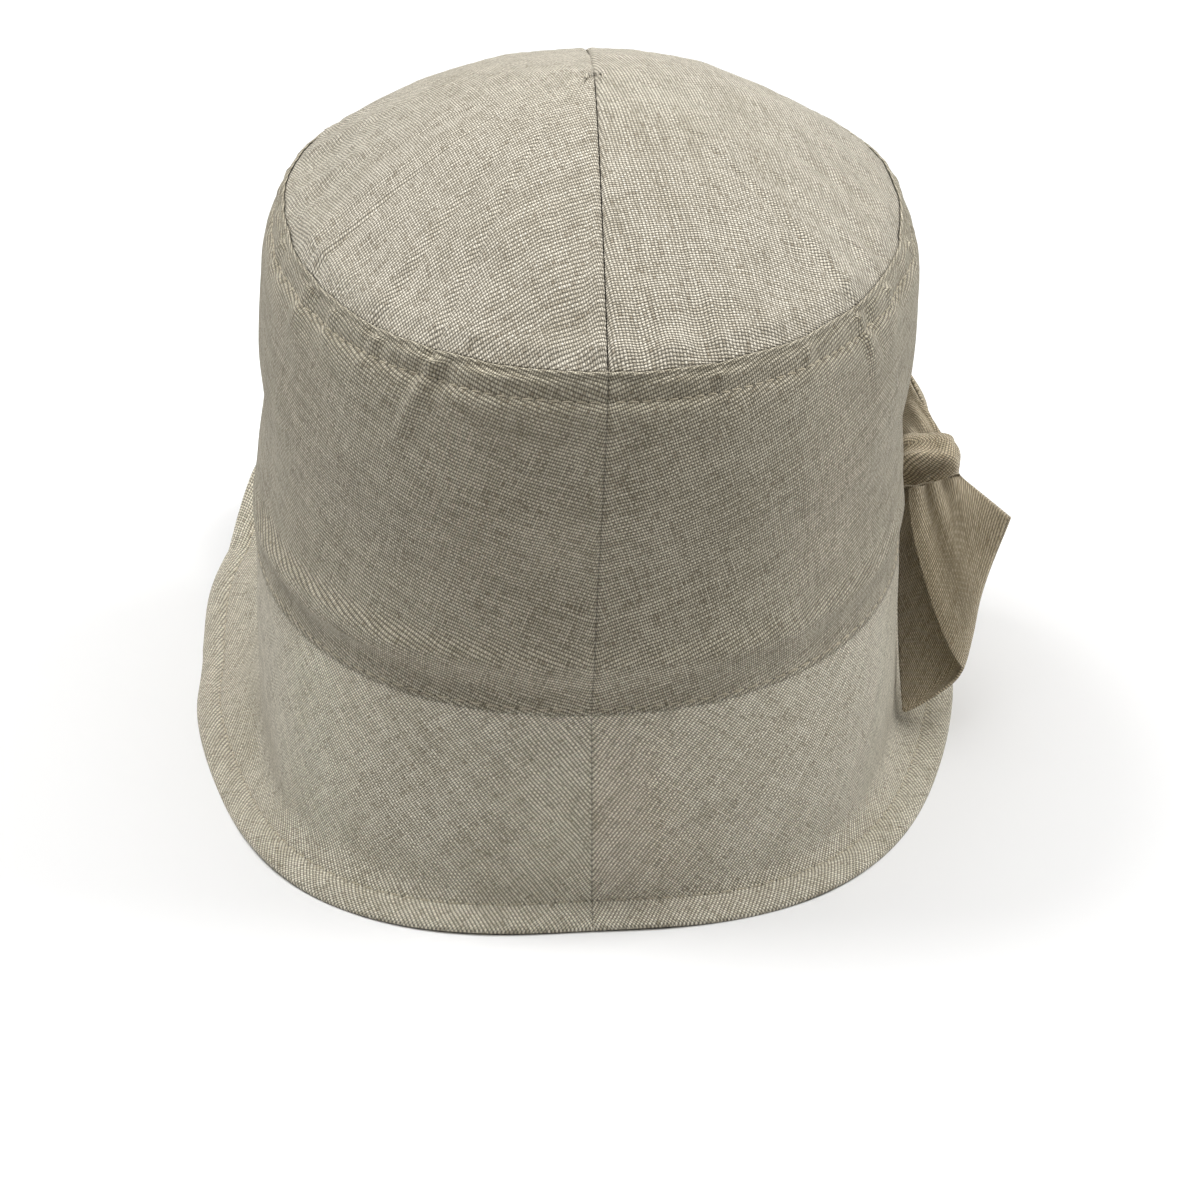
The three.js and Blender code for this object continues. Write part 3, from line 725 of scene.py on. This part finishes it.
def band_surface():
    """The band's outer surface as rows by turns of points, and how far each is below the tip seam."""
    low_place, low_out = ring_at(BRIM_SEAM, TURNS)
    high_place, high_out = ring_at(TIP_SEAM, TURNS)
    seam_height = tip_seam_height(TURNS)
    heights = band_rows(seam_height).T
    below = seam_height - heights
    share = np.minimum(heights / (seam_height - PROFILE_TOP), 1)
    shares, outs = zip(*BAND_PROFILE)
    profile = smooth_table(shares, outs, share) + BAND_OUTSIDE * faded(below, BAND_OUTSIDE_REACH)
    gathered = np.zeros_like(share)
    for turn, depth, half_width, reach in GATHERS:
        gathered += depth * bump_at(signed(TURNS), turn, half_width) * faded(below, reach)
    near_seam = faded(below, SEAM_SHIFT_REACH) ** 2
    seam_out, seam_up = seam_shift(TURNS)
    place = low_place[None] * (1 - share[..., None]) + high_place[None] * share[..., None]
    place = place + low_out[None] * (profile - gathered * grown(below, GATHERS_FROM))[..., None]
    place = place + high_out[None] * (seam_out * near_seam)[..., None]
    band = np.concatenate([place, (heights + seam_up * near_seam + SEAM_GAP / 2)[..., None]], -1)
    band = band - normals_of(band, True) * band_relief(band, heights, below)[..., None]
    # The upper edge rolls over to the inside, where the tip begins.
    outwards = np.concatenate([high_out, np.zeros((len(TURNS), 1))], 1)
    angles = np.radians(EDGE_ANGLES)[:, None]
    rolled = band[-1] + EDGE_RADIUS * ((np.cos(angles) - 1)[..., None] * outwards
                                       + np.sin(angles)[..., None] * np.array([0, 0, 1.0]))
    past = BAND_TOP_ROW - EDGE_RADIUS * angles * np.ones((1, len(TURNS)))
    return np.concatenate([band, rolled]), np.concatenate([below, past])


def dress_band():
    grid, below = band_surface()
    heights = tip_seam_height(TURNS) - below
    seam_place, _ = ring_at(BRIM_SEAM, TURNS)
    threads = strip_threads(seam_place, BAND_CUT_RADIUS, BAND_CUT_RADIUS - heights)
    # Painted shade along the centre-back seam and along the band's lower edge at the brim seam.
    crease_shade = np.maximum(ridged(SEAM_DISTANCE, BACK_SEAM_SHADE), ridged(heights, BAND_EDGE_SHADE))
    normal = -normals_of(grid, True)
    top_line, top_out = row_on(grid, below, BAND_STITCH["below"], normal)
    low_line, low_out = row_on(grid, heights, EDGE_STITCH["above"], normal)
    top_phase, _ = stitch_count(top_line, BAND_STITCH["pitch"])
    low_phase, _ = stitch_count(low_line, EDGE_STITCH["pitch"])
    upper = below < heights
    beside = np.where(upper, below - BAND_STITCH["below"], heights - EDGE_STITCH["above"])
    holes = np.stack([np.where(upper, top_phase, low_phase) + 0.5, beside], -1)
    piece = cloth_piece("band_cloth", grid, CLOTH, threads, crease_shade, closed=True, flip=True, holes=holes)
    finish_piece(piece, shaded_band_linen, ["crown_band"])
    finish_piece(stitch_row("band_top_stitches", top_line, top_out, BAND_STITCH["pitch"]), thread)
    finish_piece(stitch_row("band_edge_stitches", low_line, low_out, EDGE_STITCH["pitch"]), thread)


dress_band()


# The tip

def tip_cloth(name, side, grain):
    """One half of the domed tip. The side is 1 for the wearer's left and -1 for the right."""
    turn = side * 90 * (1 - np.cos(np.pi * np.linspace(0, 1, 230)))
    place, out = ring_at(TIP_SEAM, turn)
    seam_out, seam_up = seam_shift(turn)
    rim = np.concatenate([place + out * (seam_out - TIP_INSET)[:, None],
                          (tip_seam_height(turn) + seam_up - TIP_SUNK)[:, None]], 1)
    middle = np.array([TIP_SEAM["x"], TIP_SEAM["y"] + TIP_PEAK_BACK, CROWN_HEIGHT])
    # Rows from just beside the peak to the rim, closer together near the rim.
    steps = np.concatenate([np.linspace(0.004, 0.88, 52), np.linspace(0.88, 1, 18)[1:]])
    grid = middle + (rim - middle)[None] * steps[:, None, None]
    grid[..., 2] += TIP_PEAK_RISE * (1 - steps[:, None] ** DOME_POWER)
    rim_distance = np.linalg.norm(rim - middle, axis=1)[None] * (1 - steps)[:, None]
    # The first row is almost a point, so it takes its normal from the rows around it.
    normal = normals_of(grid, False)
    normal[0] = unit(normal[3].mean(0))
    normal *= np.sign(normal[..., 2].mean())
    seam_distance = np.abs(grid[..., 0] - TIP_SEAM["x"])
    radial = np.stack(np.broadcast_arrays(place[:, 0], place[:, 1], rim_distance), -1) / TIP_GATHER_SIZE
    relief = waves(grid, *TIP_WAVES) + waves(grid, *TIP_DENTS)
    relief += waves(radial, *TIP_GATHERS) * faded(rim_distance, TIP_GATHER_REACH)
    for pinch_turn, depth, half_width in PINCHES:
        fold = bump_at(turn[None], pinch_turn, TIP_FOLD_WIDER * half_width + TIP_FOLD_LEAST)
        relief += TIP_FOLD_SHARE * depth * fold * faded(rim_distance, TIP_FOLD_REACH)
    relief += ridged(rim_distance, TIP_RIM_RIDGES)
    relief *= grown(rim_distance, TIP_RIM_FADE)
    relief += ridged(seam_distance, TIP_SEAM_RIDGES)
    grid = grid + normal * relief[..., None]
    edge = TIP_SEAM["x"] + side * TIP_HALVES_APART
    grid[..., 0] = np.maximum(grid[..., 0], edge) if side > 0 else np.minimum(grid[..., 0], edge)
    direction = np.radians(grain)
    right = TIP_SEAM["x"] - grid[..., 0]
    away = -grid[..., 1]
    threads = np.stack([(right * np.cos(direction) + away * np.sin(direction)) / WARP_PITCH,
                        (-right * np.sin(direction) + away * np.cos(direction)) / WEFT_PITCH], -1)
    # Painted shade along the seam between the halves and round the rim under the band's edge.
    crease_shade = np.maximum(ridged(seam_distance, TIP_SEAM_SHADE), ridged(rim_distance, TIP_RIM_SHADE))
    return cloth_piece(name, grid, CLOTH, threads, crease_shade, flip=side < 0), grid


for name, side, grain, node in (("tip_left_cloth", 1, TIP_LEFT_GRAIN, "crown_tip_left"),
                                ("tip_right_cloth", -1, TIP_RIGHT_GRAIN, "crown_tip_right")):
    piece, grid = tip_cloth(name, side, grain)
    finish_piece(piece, tip_linen, [node])


# The brim

def brim_sections(turn, count=240):
    """For each turn, places along the brim's width: how far out, how far up, and the slope there."""
    turn = signed(turn)
    c = np.cos(np.radians(turn))
    end = np.where(c > 0, BRIM_WIDTH_BACK, BRIM_WIDTH_FRONT)
    width = BRIM_WIDTH_SIDE + (end - BRIM_WIDTH_SIDE) * c * c
    keys, leans, straights, rim_turns = zip(*BRIM_SECTIONS)
    slope = smooth_table(keys, leans, turn, 360)
    straight = smooth_table(keys, straights, turn, 360)
    rim_turn = smooth_table(keys, rim_turns, turn, 360)
    step = width / count
    at = (np.arange(count) + 0.5)[None] * step[:, None]
    share = grown(at - straight[:, None], (width - straight)[:, None])
    evenly = share * share * (3 - 2 * share)
    soon = grown(EVENLY_FROM - np.abs(turn), EVENLY_FROM - SOON_TO)[:, None]
    bent = evenly + (1 - (1 - share) ** SOON_POWER - evenly) * soon
    angle = np.radians(slope[:, None] + (rim_turn - slope)[:, None] * bent)
    zero = np.zeros((len(turn), 1))
    out = np.concatenate([zero, np.cumsum(np.sin(angle), 1) * step[:, None]], 1)
    up = np.concatenate([zero, -np.cumsum(np.cos(angle), 1) * step[:, None]], 1)
    slopes = np.concatenate([np.radians(slope)[:, None], angle], 1)
    # Where it rests, the brim's height is fitted so that its lowest place is just on the table.
    lowest = np.min(up - BRIM_DEPTH * np.sin(slopes), 1)
    rests = grown(REST_NONE - np.abs(turn), REST_NONE - REST_FULL)
    settled = 1 + ((SEAM_ABOVE_TABLE + PRESSED_FLAT) / -lowest - 1) * rests
    return width, out, up * settled[:, None], slopes


def brim_rows(width):
    low = np.array([0, 0.5, 1.1, 1.9, 3.0, 4.4])
    high = np.array([12, 10.6, 9.4, 8.5, 7.8, 7.3, 6.9, 6.6, 6.2, 5.7, 5.0, 4.1, 3.2, 2.3, RIM_RADIUS])
    return rows_between(low, high, width, 36)


def brim_cloth(name, under):
    """One layer of the brim with its row of stitches. The two layers share the rounding of the rim."""
    width, out, up, slope = brim_sections(TURNS)
    flat_rows = brim_rows(width)
    rounding = np.radians([20, 40, 60, 75, 90])
    rolled = (width - RIM_RADIUS)[:, None] + RIM_RADIUS * np.sin(rounding)
    along = np.concatenate([flat_rows, rolled], 1)
    depth = np.concatenate([np.zeros(flat_rows.shape[1]), RIM_RADIUS * (1 - np.cos(rounding))])
    sink = BRIM_DEPTH - depth if under else depth
    index = along / width[:, None] * (out.shape[1] - 1)
    low = np.clip(np.floor(index).astype(int), 0, out.shape[1] - 2)
    part = index - low
    column = np.arange(len(TURNS))[:, None]

    def between(values):
        return values[column, low] * (1 - part) + values[column, low + 1] * part

    away = between(out)
    rise = between(up)
    tilt = between(slope)
    inside = width[:, None] - along
    base, base_out = ring_at(BRIM_SEAM, TURNS)
    plain = np.concatenate([base[:, None] + base_out[:, None] * away[..., None], rise[..., None]], -1)
    relief = waves(plain, *BRIM_DENTS) + waves(plain, *BRIM_PUCKERS) * faded(inside, BRIM_PUCKER_REACH)
    relief += ridged(inside, RIM_RIDGES) + ridged(SEAM_DISTANCE[:, None], BRIM_SEAM_RIDGES)
    relief *= grown(along, BRIM_FADE_IN) * np.clip(inside / BRIM_FADE_OUT, RIM_LEAST_RELIEF, 1)
    bend = waves(plain, *BRIM_WAVES) * grown(along, BRIM_WAVES_FROM)
    shift = sink - (bend - relief if under else bend + relief)
    away = away - shift * np.cos(tilt)
    rise = np.maximum(rise - shift * np.sin(tilt) - SEAM_GAP / 2, -SEAM_ABOVE_TABLE)
    grid = np.concatenate([base[:, None] + base_out[:, None] * away[..., None], rise[..., None]], -1)
    grid = grid.transpose(1, 0, 2)
    threads = strip_threads(base, BRIM_CUT_RADIUS / BRIM_EASE, BRIM_CUT_RADIUS - BRIM_SEAM_IN + along.T)
    # Painted shade along the centre-back seam and along the brim's edge under the band.
    crease_shade = np.maximum(ridged(SEAM_DISTANCE, BACK_SEAM_SHADE), ridged(along.T, BRIM_EDGE_SHADE))
    normal = normals_of(grid, True) * (-1 if under else 1)
    line, line_out = row_on(grid, inside.T, RIM_STITCH["inside"], normal)
    phase, _ = stitch_count(line, RIM_STITCH["pitch"])
    holes = np.stack([np.broadcast_to(phase + 0.5, inside.T.shape), inside.T - RIM_STITCH["inside"]], -1)
    piece = cloth_piece(name, grid, BRIM_CLOTH, threads, crease_shade, closed=True, flip=under, holes=holes)
    row = stitch_row(name.replace("cloth", "stitches"), line, line_out, RIM_STITCH["pitch"])
    return piece, grid, row


for name, under, material, slot, node in (
        ("brim_top_cloth", False, lit_brim_linen, "linen", "brim_top"),
        ("brim_facing_cloth", True, underside, "linen_underside", "brim_facing")):
    piece, grid, row = brim_cloth(name, under)
    finish_piece(piece, material, [node])
    finish_piece(row, thread)


# The bow

def fold_line(points, share):
    """A smooth curve through the fold's points, from its bottom at 0 to its top at 1."""
    points = np.array(points, float)
    p = np.concatenate([[points[0] * 2 - points[1]], points, [points[-1] * 2 - points[-2]]])
    gaps = np.linalg.norm(np.diff(p, axis=0), axis=1) ** 0.5
    position = np.clip(np.asarray(share, float), 0, 1) * (len(points) - 1)
    i = np.clip(np.floor(position).astype(int), 0, len(points) - 2)
    t = (position - i)[..., None]
    a, b, c, d = p[i], p[i + 1], p[i + 2], p[i + 3]
    g0, g1, g2 = gaps[i][..., None], gaps[i + 1][..., None], gaps[i + 2][..., None]
    start = ((b - a) / g0 - (c - a) / (g0 + g1) + (c - b) / g1) * g1
    end = ((c - b) / g1 - (d - b) / (g1 + g2) + (d - c) / g2) * g1
    return curve_between(b, c, start, end, t)


def loop_surface(loop, u, v):
    """A loop's middle surface before its creases. u runs along the cloth, from the neck at 0 out to
    the fold at 0.5 and back to the neck at 1. v runs across it, from its lower edge at -1 to 1."""
    neck = np.array(loop["start"], float)
    fold = loop["fold"]
    fold_middle = fold_line(fold, 0.5)
    along = unit(fold_middle - neck)
    neck_way = unit(np.array(loop["neck_across"], float))
    fold_way = unit(fold_line(fold, 1) - fold_line(fold, 0))
    neck_facing = unit(np.cross(along, neck_way))
    fold_facing = unit(np.cross(along, fold_way))
    reach = np.sin(np.pi * u) ** 2
    low = (1 - v) / 2
    past_fold = grown(u - 0.5, PAST_FOLD)
    over = v + (1 - v) * loop["near_edge_rise"] * reach ** NEAR_EDGE_POWER * low * (1 - past_fold)
    flare = 1 - (1 - reach) ** FLARE_POWER
    neck_point = neck + neck_way * (loop["neck_half"] * v)[..., None]
    fold_arm = fold_line(fold, (over + 1) / 2) - fold_middle
    carry = (reach + (flare - reach) * FLARE_SHARE * low)[..., None]
    place = neck_point + (fold_middle - neck_point) * reach[..., None] + fold_arm * carry
    facing = unit(neck_facing + (fold_facing - neck_facing) * reach[..., None])
    # It is puffed out between the neck and the fold, and closes towards its upper edge.
    closing = np.sqrt(1 - grown(v - CLOSING_FROM, 1 - CLOSING_FROM) ** 2)
    flatter = 1 - FLATTER_EDGES * np.minimum(v, 0) ** 2
    fullness = np.maximum(closing * flatter * (1 + (loop["top_puff"] - 1) * (1 - low)), LEAST_PUFF)
    lift = loop["puff"] * np.sin(2 * np.pi * u) * np.sin(np.pi * u) * fullness
    pleat = NECK_PLEAT_DEPTH * (1 - reach) ** 2 * np.cos(2 * np.pi * NECK_PLEATS * v)
    back = np.clip(2 * u - 1, 0, 1)
    place[..., 0] += loop["far_edge_in"] * low * low * back * (2 - back)
    place[..., 1] -= loop["far_edge_forwards"] * low * low * 4 * back * (1 - back)
    gap = loop["neck_gap"] * np.cos(np.pi * u) * (1 - TOP_GAP_CLOSED * np.clip(v, 0, 1) ** 2)
    return place + facing * (lift + gap + pleat)[..., None], reach


def bow_loop(name, loop, seed):
    u, v = np.meshgrid(np.linspace(0, 1, LOOP_COLUMNS), np.linspace(-1, 1, LOOP_ROWS))
    place, reach = loop_surface(loop, u, v)
    fan = np.stack([v * FAN_ACROSS, u * FAN_ALONG, 0 * u], -1)
    creases = waves(fan, *LOOP_CREASES, seed) * (1 - reach) ** FAN_FADE
    relief = creases + waves(place, *LOOP_DENTS, seed + 2)
    place = place + normals_of(place, False) * relief[..., None]
    run = np.stack([run_along(row) for row in place])
    run = run - run[:, [LOOP_COLUMNS // 2]]
    across = np.stack([run_along(column) for column in place.transpose(1, 0, 2)], 1)
    across = across - across[[LOOP_ROWS // 2]]
    threads = np.stack([across / WARP_PITCH, run / WEFT_PITCH], -1)
    # Painted shade in the crease at the neck, fading out along the loop.
    crease_shade = NECK_CREASE_SHADE * faded(reach, NECK_CREASE_SHADE_REACH)
    outer = place + normals_of(place, False) * BOW_CLOTH / 2
    return cloth_piece(name, outer, BOW_CLOTH, threads, crease_shade), place


for name, loop, seed, node in (("bow_rear_cloth", BOW_REAR, 1.3, "bow_loop_rear"),
                               ("bow_front_cloth", BOW_FRONT, 4.6, "bow_loop_front")):
    piece, grid = bow_loop(name, loop, seed)
    finish_piece(piece, bow_linen, [node])


def bow_knot():
    """The cross piece: a cushion round the necks of the loops, gathered shut at both ends."""
    ring = dict(half_width=KNOT["half_depth"], half_length=KNOT["half_height"],
                squareness=KNOT["squareness"], front_taper=0, x=0, y=0)
    turn = np.linspace(0, 360, 161)
    step = np.linspace(-1, 1, 71)
    bent = grown(np.abs(step) - KNOT_STRAIGHT_ROWS, 1 - KNOT_STRAIGHT_ROWS) * np.pi / 2
    straight = np.minimum(np.abs(step), KNOT_STRAIGHT_ROWS) / KNOT_STRAIGHT_ROWS * KNOT_STRAIGHT_WIDTH
    along = np.sign(step) * (straight + (1 - KNOT_STRAIGHT_WIDTH) * np.sin(bent)) * KNOT["width"] / 2
    size = np.cos(bent) ** KNOT_END_POWER + KNOT_LEAST_SIZE
    place, out = ring_at(ring, turn)
    fold = KNOT_FOLD * np.cos(2 * np.pi * step[:, None] + np.radians(turn)[None] + KNOT_FOLD_START)
    flat = place * size[:, None, None] + out * ((fold - KNOT_SQUEEZE) * size[:, None])[..., None]
    grid = np.stack([flat[..., 0], np.broadcast_to(along[:, None], flat.shape[:2]), flat[..., 1]], -1)
    grid = grid + waves(grid, *KNOT_DENTS)[..., None] * np.stack([out[:, 0], 0 * turn, out[:, 1]], -1)
    tilt = np.array(Matrix.Rotation(math.radians(KNOT["tilt"]), 3, "X"))
    grid = grid @ tilt.T + np.array(KNOT["centre"])
    # The threads lie straight over both ends of the cushion.
    arc = run_along(grid[:, 0])
    from_end = np.minimum(arc, arc[-1] - arc)[:, None]
    way = np.radians(turn + KNOT_GRAIN)[None]
    threads = np.stack([from_end * np.cos(way) / WARP_PITCH, from_end * np.sin(way) / WEFT_PITCH], -1)
    return cloth_piece("bow_knot_cloth", grid, KNOT_CLOTH, threads, closed=True)


knot = bow_knot()
finish_piece(knot, bow_linen, ["bow_knot"])


# The floor, the light and the camera

FLOOR_HALF = 6.0
FLOOR_TONE = (0.86, 0.86, 0.86, 1)
WORLD_TONE = (1, 1, 1, 1)
WORLD_STRENGTH = 0.02

# Round soft lights, in metres: name, place, aim, size and watts.
LIGHTS = [("overhead", (0, 0.1, 1.5), (0, 0, 0), 1.6, 16),
          ("high_right", (-0.95, -0.1, 1.1), (0, 0, 0.1), 0.8, 13),
          ("high_left", (0.78, -0.25, 1.3), (0, 0, 0.1), 0.8, 15)]

CAMERA_TURN = 178.07
CAMERA_RISE = 29.75
CAMERA_DISTANCE = 972.45
CAMERA_ROLL = -0.236
SENSOR_WIDTH = 36
FOCAL_PIXELS = 3827.83
IMAGE_PIXELS = 1200
SIGHT_POINT = (579.19, 508.98)  # the pixel that shows the hat's origin


def floor():
    mesh = bpy.data.meshes.new("floor")
    corners = [(x * FLOOR_HALF, y * FLOOR_HALF, 0) for x, y in ((-1, -1), (1, -1), (1, 1), (-1, 1))]
    mesh.from_pydata(corners, [], [(0, 1, 2, 3)])
    n = Nodes("floor_white")
    n.shader.inputs["Base Color"].default_value = FLOOR_TONE
    n.shader.inputs["Roughness"].default_value = 0.9
    n.shader.inputs["Specular IOR Level"].default_value = 0.1
    mesh.materials.append(n.material)
    placed("floor", mesh)


def soft_light(name, place, aim, size, watts):
    light = bpy.data.lights.new(name, "AREA")
    light.shape = "DISK"
    light.size = size
    light.energy = watts
    lamp = bpy.data.objects.new(name, light)
    lamp.location = place
    lamp.rotation_euler = (Vector(aim) - Vector(place)).to_track_quat("-Z", "Y").to_euler()
    bpy.context.scene.collection.objects.link(lamp)


def studio():
    floor()
    for light in LIGHTS:
        soft_light(*light)
    world = bpy.data.worlds.new("studio")
    world.use_nodes = True
    background = world.node_tree.nodes["Background"]
    background.inputs["Color"].default_value = WORLD_TONE
    background.inputs["Strength"].default_value = WORLD_STRENGTH
    bpy.context.scene.world = world
    bpy.context.scene.view_settings.view_transform = "Standard"


def camera():
    turn = math.radians(CAMERA_TURN)
    rise = math.radians(CAMERA_RISE)
    away = Vector((math.sin(turn) * math.cos(rise), -math.cos(turn) * math.cos(rise), math.sin(rise)))
    place = (Vector(HAT_ORIGIN) + away * CAMERA_DISTANCE) * MM
    ahead = -away
    level = ahead.cross(Vector((0, 0, 1))).normalized()
    upright = level.cross(ahead)
    roll = math.radians(CAMERA_ROLL)
    right = level * math.cos(roll) + upright * math.sin(roll)
    up = upright * math.cos(roll) - level * math.sin(roll)
    # The camera looks through the middle of the image, beside the sight point.
    middle = IMAGE_PIXELS / 2
    ahead = ahead * FOCAL_PIXELS + right * (middle - SIGHT_POINT[0]) - up * (middle - SIGHT_POINT[1])
    ahead = ahead.normalized()
    right = (right - ahead * right.dot(ahead)).normalized()
    up = right.cross(ahead)
    data = bpy.data.cameras.new("camera")
    data.sensor_width = SENSOR_WIDTH
    data.lens = FOCAL_PIXELS / IMAGE_PIXELS * SENSOR_WIDTH
    data.clip_start = 0.02
    made = placed("camera", data)
    made.matrix_world = Matrix((
        (right.x, up.x, -ahead.x, place.x),
        (right.y, up.y, -ahead.y, place.y),
        (right.z, up.z, -ahead.z, place.z),
        (0, 0, 0, 1)))
    bpy.context.scene.camera = made


studio()
camera()
